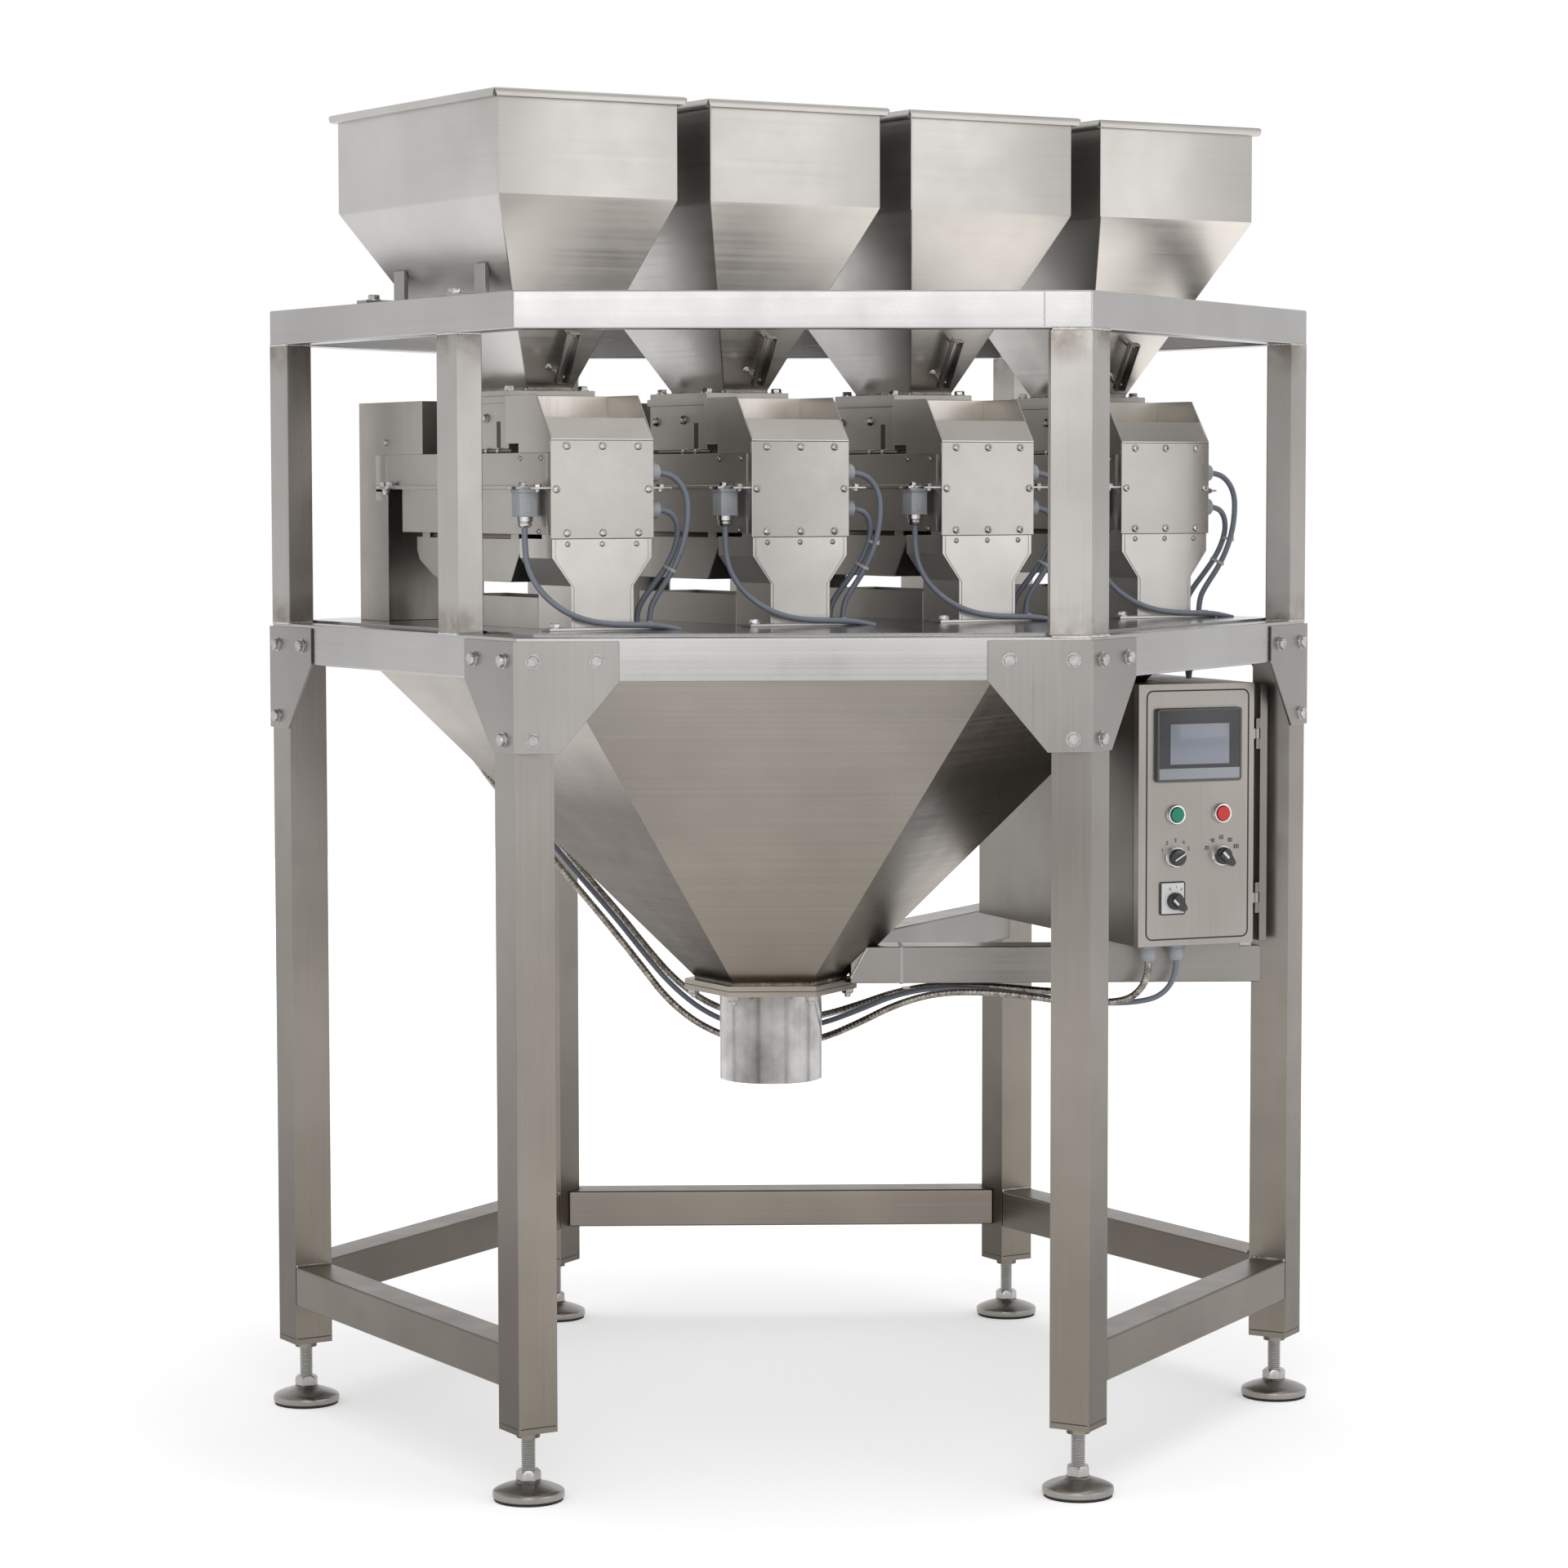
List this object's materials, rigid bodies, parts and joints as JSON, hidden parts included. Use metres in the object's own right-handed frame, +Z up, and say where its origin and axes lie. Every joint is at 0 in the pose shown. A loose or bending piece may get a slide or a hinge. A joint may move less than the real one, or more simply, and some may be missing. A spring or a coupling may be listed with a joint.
{
  "type": "linear weigher",
  "caption": "Linear weigher with a row of hoppers and feeding heads on a hexagonal stainless frame, a shared funnel and a control cabinet.",
  "frame": {"origin": "on the floor at the centre of the hexagonal frame", "axes": "+Z up, +X along the row of heads to the machine's right as seen from its front, -Y the front with the head covers"},
  "size_m": [1.399, 1.587, 1.944],
  "materials": {
    "steel_sheet": "fine brushed stainless sheet, warm grey",
    "steel_tube_warm": "brushed stainless tube, grain along its length",
    "steel_tube_bright": "brushed stainless tube, brighter and cooler",
    "steel_turned": "bright turned stainless",
    "black_rubber": "matte black rubber",
    "steel_mirror": "dark, near-mirror stainless",
    "steel_funnel": "brushed stainless with a satin sheen",
    "steel_hopper": "satin stainless sheet",
    "steel_cover": "pale satin stainless",
    "grey_plastic": "light grey moulded plastic",
    "cable_sheath": "grey-blue satin sheath",
    "steel_hose": "corrugated stainless hose",
    "screen_frame_plastic": "dark grey moulded bezel",
    "screen_glass": "blue-grey display, off",
    "green_plastic": "green push cap",
    "red_plastic": "red push cap",
    "black_plastic": "black moulded knob",
    "bezel_chrome": "polished ring",
    "switch_plate": "pale plate",
    "steel_cabinet": "vertically brushed stainless sheet"
  },
  "bodies": {
    "frame": {"cabinet": "steel_cabinet", "cabinet_arms": "steel_tube_warm", "cabinet_glands": "grey_plastic", "cable_lower_1": "cable_sheath", "cable_lower_2": "cable_sheath", "cable_lower_3": "cable_sheath", "cable_lower_4": "cable_sheath", "cable_main": "cable_sheath", "cable_plug_1": "cable_sheath", "cable_plug_2": "cable_sheath", "cable_plug_3": "cable_sheath", "cable_plug_4": "cable_sheath", "cable_upper_1": "cable_sheath", "cable_upper_2": "cable_sheath", "cable_upper_3": "cable_sheath", "cable_upper_4": "cable_sheath", "catch_boxes": "steel_sheet", "chutes": "steel_cover", "connectors": "grey_plastic", "corner_plates": "steel_sheet", "deck_back": "steel_mirror", "deck_front": "steel_mirror", "foot_pads": "steel_turned", "foot_rubbers": "black_rubber", "foot_screws": "steel_turned", "front_covers": "steel_cover", "funnel": "steel_funnel", "head_housings": "steel_sheet", "hoods": "steel_cover", "hopper_1": "steel_hopper", "hopper_2": "steel_hopper", "hopper_3": "steel_hopper", "hopper_4": "steel_hopper", "hopper_brackets": "steel_sheet", "hopper_grips": "steel_sheet", "hose_inner": "steel_hose", "hose_outer": "steel_hose", "inlets": "steel_sheet", "legs": "steel_tube_warm", "lower_rails": "steel_tube_warm", "pans": "steel_sheet", "spout": "steel_funnel", "stands": "steel_sheet", "table_ring": "steel_tube_bright", "top_ring": "steel_tube_bright", "upper_posts": "steel_tube_warm"},
    "door": {"door": "steel_cabinet", "screen_frame": "screen_frame_plastic", "screen": "screen_glass", "bezels": "bezel_chrome", "switch_plate": "switch_plate"},
    "green_button": {"green_button": "green_plastic"},
    "red_button": {"red_button": "red_plastic"},
    "left_dial": {"left_dial": "black_plastic"},
    "right_dial": {"right_dial": "black_plastic"},
    "main_switch": {"main_switch": "black_plastic"}
  },
  "joints": [
    {"name": "door_hinge", "type": "hinge", "parent": "frame", "child": "door", "pos_m": [0.57868, -0.40646, 0.909], "axis": [0, 0, 1], "range_deg": [0, 85]},
    {"name": "green_button_press", "type": "slide", "parent": "door", "child": "green_button", "axis": [0.1564, 0.9877, 0], "range_m": [0, 0.003], "stiffness_N_per_m": 300, "springref_m": -0.003},
    {"name": "red_button_press", "type": "slide", "parent": "door", "child": "red_button", "axis": [0.1564, 0.9877, 0], "range_m": [0, 0.003], "stiffness_N_per_m": 300, "springref_m": -0.003},
    {"name": "left_dial_turn", "type": "hinge", "parent": "door", "child": "left_dial", "pos_m": [0.4403, -0.39163, 0.843], "axis": [0.1564, 0.9877, 0], "range_deg": [-120, 60]},
    {"name": "right_dial_turn", "type": "hinge", "parent": "door", "child": "right_dial", "pos_m": [0.51734, -0.40383, 0.843], "axis": [0.1564, 0.9877, 0], "range_deg": [-225, 0]},
    {"name": "main_switch_turn", "type": "hinge", "parent": "door", "child": "main_switch", "pos_m": [0.43879, -0.38835, 0.777], "axis": [0.1564, 0.9877, 0], "range_deg": [-135, 0]}
  ]
}
